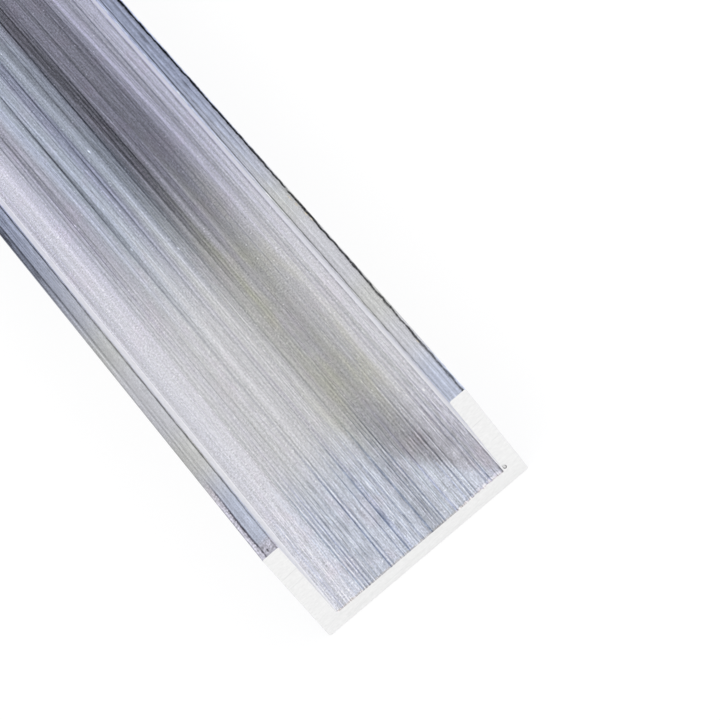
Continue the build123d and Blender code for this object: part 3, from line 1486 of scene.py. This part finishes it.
@dataclass
class WallFinish(Finish):
    """The groove's two walls: bright, with faint lines. The bright tone is a painted reflection, standing in
    for the light that the metal walls mirror at a grazing view.

    They are mostly not metallic and have no gloss, because plain metal comes out too dark in the
    narrow groove. They darken upwards, the right one more, as part of that painted reflection, and the
    right one also at its foot, which is painted shade in the root corner.
    """

    name: str = "groove_wall"
    roughness: float = 0.35
    # Near white: painted reflection standing in for the light that the metal walls mirror.
    base: float = 254.0
    metallic: float = 0.10
    gloss: float = 0.0
    swing: float = 6.0
    left_fall: float = 5.0
    right_fall: float = 20.0
    fall_up: tuple[float, float] = (4.0, 13.0)
    # How much painted shade darkens the right wall's foot, in the root corner.
    foot_dark: float = 26.0
    foot_up: tuple[float, float] = (2.2, 4.0)
    foot_along: tuple[float, float] = (10.0, 60.0)

    def build(self) -> bpy.types.Material:
        """Builds the material.

        Returns:
            The walls' finish.
        """
        self.start()
        self.shader.inputs["Metallic"].default_value = self.metallic
        self.shader.inputs["Specular IOR Level"].default_value = self.gloss
        wiring, place = self.wiring, self.place
        coarse = self.lines(place["Up"], 0.9, 200.0, 21.0)
        fine = self.lines(place["Up"], 0.2, 70.0, 23.0)
        tone = wiring.math("MULTIPLY_ADD", fine, self.swing, self.base)
        tone = wiring.math("MULTIPLY_ADD", coarse, self.swing, tone)
        left = wiring.math("GREATER_THAN", place["Across"], 0.0)
        right = wiring.math("SUBTRACT", 1.0, left)
        # Darker upwards, the right wall more, as part of the walls' painted reflection.
        fall = wiring.math("MULTIPLY_ADD", left, self.left_fall - self.right_fall, self.right_fall)
        tone = wiring.math("SUBTRACT", tone, wiring.smooth(place["Up"], *self.fall_up, 0.0, fall))
        # Painted shade at the right wall's foot, in the root corner.
        foot = wiring.smooth(place["Up"], *self.foot_up, self.foot_dark, 0.0)
        foot = wiring.product(foot, wiring.smooth(place["Along"], *self.foot_along), right)
        tone = wiring.math("SUBTRACT", tone, foot)
        roughness = wiring.math("MULTIPLY_ADD", fine, 0.05, self.roughness)
        hue = self.weigh(self.stretches(0.0, 2.0), 0.25, 0.2, 0.6)
        colour = {"Tone": tone, "Blue": hue, "Violet": hue}
        return self.finish(colour, roughness, fine, 0.0015 * MM)


@dataclass
class TipFinish(Finish):
    """The flanges' tips: a smooth face between two dark arrises, with a few marks of their own. The dark and
    the bright lines along the arrises are painted reflections and painted highlights.
    """

    name: str = "flange_tip"
    left_base: float = 188.0
    right_base: float = 199.0
    left_marks: tuple[Spot, ...] = (
        Spot(0.98, 0.55, 0.17, 0.30, 95.0),
        Spot(1.20, 1.15, 0.28, 0.22, 50.0),
        Spot(0.45, 0.35, 0.30, 0.22, 40.0),
        Spot(0.62, 1.10, 0.24, 0.32, -34.0),
        Spot(1.40, 1.90, 0.14, 0.55, 40.0),
        Spot(1.54, 4.47, 0.13, 0.45, 66.0),
        Spot(1.64, 7.30, 0.10, 0.35, 50.0),
        Spot(1.86, 5.60, 0.09, 0.50, 40.0),
        Spot(0.70, 4.60, 0.35, 2.60, -14.0),
        Spot(1.62, 48.0, 0.18, 1.60, 34.0),
        Spot(1.70, 54.5, 0.20, 1.90, 40.0),
        Spot(1.60, 59.5, 0.16, 4.50, 50.0),
    )
    right_marks: tuple[Spot, ...] = (
        Spot(0.90, 38.0, 0.22, 1.30, 22.0),
        Spot(1.20, 55.0, 0.30, 1.10, 34.0),
        Spot(1.05, 64.0, 0.32, 1.60, 32.0),
        Spot(1.80, 34.7, 0.10, 0.50, -110.0),
        Spot(0.00, 35.7, 0.16, 0.90, -170.0),
        Spot(0.06, 54.8, 0.15, 0.45, -80.0),
        Spot(1.20, 46.0, 0.14, 6.50, 22.0),
        Spot(1.45, 6.00, 0.30, 3.00, -8.0),
        Spot(1.55, 2.60, 0.10, 0.90, 40.0),
        Spot(1.00, 1.00, 0.08, 1.60, 22.0),
    )
    warm_crumbs: tuple[Spot, ...] = (
        Spot(1.66, 30.5, 0.08, 0.45, -34.0),
        Spot(1.72, 29.5, 0.07, 0.60, -20.0),
        Spot(1.58, 32.3, 0.07, 0.45, -14.0),
        Spot(1.52, 33.6, 0.05, 0.80, -10.0),
        Spot(1.58, 8.40, 0.06, 0.50, -16.0),
    )

    def build(self) -> bpy.types.Material:
        """Builds the material.

        Returns:
            The tips' finish.
        """
        self.start()
        wiring, along, across = self.wiring, self.place["Along"], self.place["Across"]
        from_middle = wiring.math("ABSOLUTE", across)
        from_groove = wiring.math("SUBTRACT", from_middle, self.effects.half_groove)
        left = wiring.math("GREATER_THAN", across, 0.0)
        right = wiring.math("SUBTRACT", 1.0, left)
        coarse = self.lines(across, 0.5, 90.0, 31.0)
        strand = self.lines(across, 0.24, 50.0, 34.0)
        fine = self.lines(across, 0.12, 30.0, 33.0)
        blot = self.lines(across, 0.35, 1.6, 35.0)
        grain = self.lines(across, 0.20, 0.15, 36.0)
        crisp = wiring.math("MULTIPLY_ADD", right, -4.0, 7.0)
        jitter = wiring.math("MULTIPLY_ADD", coarse, 3.0, 8.0)
        zones = self.stretches(jitter, 2.0, crisp, wiring.math("ADD", crisp, 7.0))
        first = wiring.smooth(along, 10.0, 13.0, 1.0, 0.0)
        ragged = wiring.math("MULTIPLY_ADD", blot, 0.03, from_groove)
        nicked = wiring.math("MULTIPLY_ADD", blot, 0.35, 0.8)
        swirl = self.lines(across, 0.28, 0.30, 37.0)
        beaded = wiring.math("MULTIPLY_ADD", swirl, 0.26, wiring.smooth(along, 14.0, 26.0, 0.70, 0.86))
        # Where the right tip's dark outer line lies, a painted dark reflection along its outer arris.
        outer_reflection_line = wiring.smooth(along, 3.0, 26.0, 1.71, 1.82)
        outer_reflection_line = wiring.math("ADD", outer_reflection_line, wiring.smooth(along, 50.0, 66.0, 0.0, -0.07))
        # Where the right tip's dark inner line lies, a painted dark reflection along its inner arris.
        inner = wiring.smooth(along, 8.0, 24.0, 0.14, 0.18)
        inner = wiring.math("ADD", inner, wiring.smooth(along, 34.0, 72.0, 0.0, 0.16))

        # The dark stretch darkens the tips as well, as painted reflection; the lines listed below are the
        # tips' own.
        dark = self.layered(self.weigh(zones, 4.0, 0.0, 44.0), zones, (
            (coarse, (-7.0, -5.0, -9.0)),
            (strand, (-12.0, -8.0, -22.0)),
            (fine, (-13.0, -9.0, -18.0)),
            (blot, (-6.0, -4.0, -10.0)),
            (grain, (-18.0, -20.0, -22.0)),
        ))
        # Bands across each tip, from its groove side. Those at the arrises are painted light: the bright ones
        # at 0.00 and 1.99 are painted highlights, the dark ones at 0.14, 0.18, inner, the outer line and 1.98
        # are painted dark reflections, and the soft band just inside the outer line is painted shade. The
        # rest are the tips' own tone.
        for side, centre, half_width, edge, amounts in (
            (left, 0.00, 0.12, 0.03, (-60.0, -56.0, -70.0)),
            (left, 0.14, 0.06, 0.045, (58.0, 94.0, 112.0)),
            (left, 0.42, 0.14, 0.08, (-13.0, -18.0, -30.0)),
            (left, 1.00, 0.35, 0.20, (3.0, 0.0, 4.0)),
            (left, 1.44, 0.045, 0.03, (20.0, 6.0, 0.0)),
            (left, 1.62, 0.30, 0.10, (-6.0, 2.0, 60.0)),
            (left, 1.58, 0.12, 0.06, (0.0, 0.0, 24.0)),
            (left, 1.82, 0.10, 0.06, (-26.0, 8.0, -16.0)),
            (left, 1.98, 0.08, 0.04, (24.0, 30.0, 6.0)),
            (right, 0.00, 0.12, 0.03, (-20.0, -22.0, -90.0)),
            (right, 0.18, 0.07, 0.05, (0.0, 0.0, -22.0)),
            (right, inner, 0.05, 0.035, (64.0, 88.0, 84.0)),
            (right, 0.48, 0.06, 0.04, (24.0, -8.0, 8.0)),
            (right, 0.85, 0.16, 0.08, (-8.0, -5.0, -12.0)),
            (right, 1.20, 0.08, 0.05, (8.0, -4.0, 20.0)),
            (right, wiring.math("ADD", outer_reflection_line, -0.17), 0.08, 0.08, (14.0, 14.0, 16.0)),
            (right, outer_reflection_line, 0.095, 0.04, (112.0, 158.0, 142.0)),
            (right, 1.99, 0.07, 0.03, (-60.0, 0.0, -45.0)),
        ):
            frayed = wiring.math("MULTIPLY_ADD", blot, 0.03 if centre is outer_reflection_line else 0.0, ragged)
            mask = self.band(frayed, centre, half_width, edge)
            mask = wiring.product(mask, side, beaded if centre is outer_reflection_line else nicked)
            dark = self.layered(dark, zones, ((mask, amounts),))
        worn = wiring.product(left, first)
        scuff = wiring.product(self.band(ragged, 1.75, 0.26, 0.06), worn)
        track = wiring.math("MULTIPLY_ADD", blot, 0.3, self.band(along, 4.8, 2.6, 1.6))
        torn = wiring.math("MULTIPLY_ADD", swirl, 0.05, ragged)
        groove = self.band(torn, wiring.math("MULTIPLY_ADD", track, 0.08, 1.43), 0.08, 0.06)
        groove = wiring.product(groove, worn, wiring.math("MULTIPLY_ADD", track, 0.6, 0.55))
        messy = wiring.product(worn, wiring.smooth(along, 1.2, 2.4, 1.0, 0.0))
        messy = wiring.math("MAXIMUM", scuff, messy)
        crumbs = self.band(ragged, wiring.math("ADD", outer_reflection_line, -0.06), 0.07, 0.04)
        grit = wiring.smooth(self.lines(along, 0.4, 1.0, 38.0), 0.3, 0.9)
        streaked = wiring.product(self.band(ragged, 1.62, 0.36, 0.06), left, strand)
        for mask, amount in (
            (groove, wiring.math("MULTIPLY_ADD", swirl, -26.0, 82.0)),
            (wiring.product(swirl, messy), -30.0),
            (wiring.product(right, crumbs, grit), -60.0),
            (streaked, self.weigh(zones, -8.0, -14.0, -50.0)),
        ):
            dark = wiring.math("MULTIPLY_ADD", mask, amount, dark)
        for side, marks in ((left, self.left_marks), (right, self.right_marks)):
            for mark in marks:
                spot = wiring.product(self.spot(ragged, along, mark), side, nicked)
                dark = wiring.math("MULTIPLY_ADD", spot, mark.darkens, dark)
        warm = 0.0
        for mark in self.warm_crumbs:
            spot = wiring.product(self.spot(ragged, along, mark), right)
            dark = wiring.math("MULTIPLY_ADD", spot, mark.darkens, dark)
            warm = wiring.math("ADD", warm, spot)

        base = wiring.math("MULTIPLY_ADD", right, self.right_base - self.left_base, self.left_base)
        blue = wiring.math("MULTIPLY_ADD", messy, -0.8, self.weigh(zones, 1.2, 0.3, 1.9))
        violet = self.weigh(zones, 0.2, 0.2, 0.4)
        olive = wiring.math("ADD", self.band(along, 16.0, 3.0, 2.5), self.band(along, 34.0, 3.0, 3.0))
        colour = {
            "Tone": wiring.math("SUBTRACT", base, dark),
            "Blue": wiring.math("MULTIPLY_ADD", warm, -1.9, blue),
            "Violet": wiring.math("MULTIPLY_ADD", wiring.math("ADD", messy, groove), 0.5, violet),
            "Olive": wiring.product(olive, 0.8),
        }
        roughness = wiring.math("MULTIPLY_ADD", fine, 0.05, self.roughness)
        return self.finish(colour, roughness, fine, 0.001 * MM)


@dataclass
class OuterFinish(Finish):
    """The bar's outside: plain mill finish with soft streaks."""

    name: str = "mill_outside"
    base: float = 198.0

    def build(self) -> bpy.types.Material:
        """Builds the material.

        Returns:
            The outside's finish.
        """
        self.start()
        wiring, place = self.wiring, self.place
        around = wiring.math("ADD", place["Across"], place["Up"])
        broad = self.lines(around, 2.6, 300.0, 41.0)
        coarse = self.lines(around, 0.62, 160.0, 43.0)
        middle = self.lines(around, 0.30, 90.0, 44.0)
        fine = self.lines(around, 0.14, 40.0, 45.0)
        grain = self.lines(around, 0.24, 0.17, 47.0)
        zones = self.stretches(wiring.product(broad, 20.0), 8.0)
        flecks = self.use(self.effects.specks, Around=around, Along=place["Along"], Seed=5.0)
        dark = self.layered(self.weigh(zones, 4.0, 0.0, 16.0), zones, (
            (broad, (-8.0, -6.0, -18.0)),
            (coarse, (-9.0, -5.0, -12.0)),
            (middle, (-14.0, -8.0, -12.0)),
            (fine, (-18.0, -10.0, -13.0)),
            (grain, (-30.0, -22.0, -22.0)),
            (flecks["Specks"], (-50.0, -50.0, -50.0)),
        ))
        colour = {
            "Tone": wiring.math("SUBTRACT", self.base, dark),
            "Blue": self.weigh(zones, 0.7, 0.2, 0.8),
            "Violet": 0.25,
        }
        roughness = wiring.math("MULTIPLY_ADD", fine, 0.05, self.roughness)
        return self.finish(colour, roughness, fine, 0.0015 * MM)


@dataclass
class SawnFinish(Finish):
    """Bare metal as the saw leaves it: a fine nap, and a few marks that lie nearly level."""

    name: str = "sawn_end"
    roughness: float = 0.42
    base: float = 241.0
    marks: tuple[Spot, ...] = (
        Spot(11.6, 11.5, 1.6, 0.10, 12.0),
        Spot(11.4, 9.8, 1.3, 0.09, 9.0),
        Spot(-11.3, 9.5, 1.5, 0.10, 14.0),
        Spot(-11.8, 6.1, 0.9, 0.08, 8.0),
        Spot(3.0, 0.9, 3.5, 0.09, 6.0),
    )

    def build(self) -> bpy.types.Material:
        """Builds the material.

        Returns:
            The sawn ends' finish.
        """
        self.start()
        wiring, across = self.wiring, self.place["Across"]
        level = wiring.math("MULTIPLY_ADD", across, 0.05, self.place["Up"])
        drag, nap = (
            self.use(self.effects.lines, Around=level, Along=across, Pitch=pitch, Run=run, Seed=seed)[0]
            for pitch, run, seed in ((0.45, 2.5, 51.0), (0.16, 0.5, 53.0))
        )
        tone = wiring.math("MULTIPLY_ADD", drag, 2.5, wiring.math("MULTIPLY_ADD", nap, 5.0, self.base))
        for mark in self.marks:
            tone = wiring.math("MULTIPLY_ADD", self.spot(across, level, mark), -mark.darkens, tone)
        roughness = wiring.math("MULTIPLY_ADD", nap, 0.06, self.roughness)
        return self.finish({"Tone": tone}, roughness, nap, 0.002 * MM)


@dataclass
class CurlFinish(Finish):
    """The torn curl: dark, with a paler edge here and there."""

    name: str = "torn_curl"
    roughness: float = 0.45
    base: float = 112.0

    def build(self) -> bpy.types.Material:
        """Builds the material.

        Returns:
            The curl's finish.
        """
        self.start()
        across, up = self.place["Across"], self.place["Up"]
        torn = self.use(self.effects.lines, Around=across, Along=up, Pitch=0.12, Run=0.12, Seed=61.0)[0]
        tone = self.wiring.math("MULTIPLY_ADD", torn, 55.0, self.base)
        return self.finish({"Tone": tone, "Violet": 0.4}, self.roughness, torn, 0.01 * MM)


@dataclass
class Viewpoint:
    """The photograph's camera, measured from the middle of the near end's lower edge."""

    across: float = -0.83 * MM
    back: float = 307.68 * MM
    up: float = 373.90 * MM
    pitch: float = math.radians(48.366)
    yaw: float = math.radians(1.068)
    roll: float = math.radians(39.462)
    focal_pixels: float = 5036.0
    picture_pixels: float = 720.0
    sensor: float = 36.0
    clip: tuple[float, float] = (0.01, 20.0)

    def place(self, length: float) -> bpy.types.Object:
        """Makes the camera and looks through it.

        Args:
            length: The bar's length.

        Returns:
            The camera object.
        """
        forward = Vector((math.cos(self.yaw), -math.sin(self.yaw), 0.0))
        ahead = math.cos(self.pitch) * forward - Vector((0.0, 0.0, math.sin(self.pitch)))
        level = Vector((-math.sin(self.yaw), -math.cos(self.yaw), 0.0))
        down = ahead.cross(level)
        right = math.cos(self.roll) * level + math.sin(self.roll) * down
        low = math.cos(self.roll) * down - math.sin(self.roll) * level
        lens = bpy.data.cameras.new("viewpoint")
        lens.sensor_width = self.sensor
        lens.lens = self.focal_pixels * self.sensor / self.picture_pixels
        lens.clip_start, lens.clip_end = self.clip
        camera = bpy.data.objects.new("viewpoint", lens)
        turn = Matrix((right, -low, -ahead)).transposed().to_4x4()
        camera.matrix_world = Matrix.Translation((-length / 2 - self.back, self.across, self.up)) @ turn
        bpy.context.scene.collection.objects.link(camera)
        bpy.context.scene.camera = camera
        return camera


@dataclass(frozen=True)
class Lamp:
    """One square soft lamp: where it stands from the near end, its side in metres, and its watts."""

    name: str
    place: tuple[float, float, float]
    size: float
    power: float


@dataclass
class Studio:
    """Pale floor, even sky and soft lamps."""

    floor_size: float = 12.0
    floor_colour: float = 0.22
    floor_glow: float = 0.79
    sky: float = 0.97
    lamps: tuple[Lamp, ...] = (
        Lamp("high_soft", (-0.3, 0.6, 1.2), 1.2, 1.5),
        Lamp("left_soft", (0.15, 0.88, 1.05), 1.0, 2.0),
        Lamp("right_soft", (0.15, -0.88, 1.05), 1.0, 2.5),
    )

    def build(self) -> None:
        """Makes the floor, the sky and the lamps."""
        half = self.floor_size / 2
        mesh = bpy.data.meshes.new("floor")
        corners = [(-half, -half, 0), (half, -half, 0), (half, half, 0), (-half, half, 0)]
        mesh.from_pydata(corners, [], [(0, 1, 2, 3)])
        floor = bpy.data.objects.new("floor", mesh)
        bpy.context.scene.collection.objects.link(floor)
        mesh.materials.append(self.floor_material())
        world = bpy.data.worlds.new("sky")
        world.use_nodes = True
        world.node_tree.nodes["Background"].inputs[0].default_value = (self.sky, self.sky, self.sky, 1.0)
        bpy.context.scene.world = world
        for lamp in self.lamps:
            self.light(lamp)

    def floor_material(self) -> bpy.types.Material:
        """White as the camera and the metal see it, with the bar's shadow kept.

        Returns:
            The floor's material.
        """
        made = bpy.data.materials.new("floor")
        made.use_nodes = True
        wiring = Wiring(made.node_tree)
        made.node_tree.nodes.clear()
        ray = wiring.node("ShaderNodeLightPath").outputs
        seen = wiring.math("ADD", ray["Is Camera Ray"], ray["Is Glossy Ray"], clamp=True)
        glow = wiring.node("ShaderNodeEmission", {1: wiring.product(seen, self.floor_glow)})
        plain = wiring.node("ShaderNodeBsdfDiffuse", {0: (*[self.floor_colour] * 3, 1.0)})
        both = wiring.node("ShaderNodeAddShader", {0: plain.outputs[0], 1: glow.outputs[0]})
        wiring.node("ShaderNodeOutputMaterial", {0: both.outputs[0]})
        return made

    def light(self, lamp: Lamp) -> None:
        """Adds a lamp that faces the near end of the bar.

        Args:
            lamp: Which lamp.
        """
        light = bpy.data.lights.new(lamp.name, "AREA")
        light.size, light.energy = lamp.size, lamp.power
        made = bpy.data.objects.new(lamp.name, light)
        place, target = Vector(lamp.place), Vector((CAD_BOX[0][0], 0.0, 0.0))
        turn = (-place).to_track_quat("-Z", "Y").to_matrix().to_4x4()
        made.matrix_world = Matrix.Translation(place + target) @ turn
        bpy.context.scene.collection.objects.link(made)


def main() -> None:
    """Builds the bar and the studio, and ties the bar to the frame."""
    logging.basicConfig(level=logging.INFO, format="%(name)s: %(message)s")
    low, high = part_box("u_channel")
    length = high[0] - low[0]
    section = Section(width=high[1] - low[1], height=high[2] - low[2])
    effects = Effects(length, section.groove / 2 / MM)
    finishes = {
        Face.FLOOR: FloorFinish(effects).build(),
        Face.WALL: WallFinish(effects).build(),
        Face.TIP: TipFinish(effects).build(),
        Face.OUTSIDE: OuterFinish(effects).build(),
        Face.SAWN: SawnFinish(effects).build(),
        Face.CURL: CurlFinish(effects).build(),
    }
    bar = UChannel(section, length).build(finishes)
    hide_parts("u_channel")
    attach(bar, "root")
    log.info("bar: %d faces", len(bar.data.polygons))
    Studio().build()
    Viewpoint().place(length)
    view = bpy.context.scene.view_settings
    view.view_transform = "Standard"


if __name__ == "__main__":
    main()
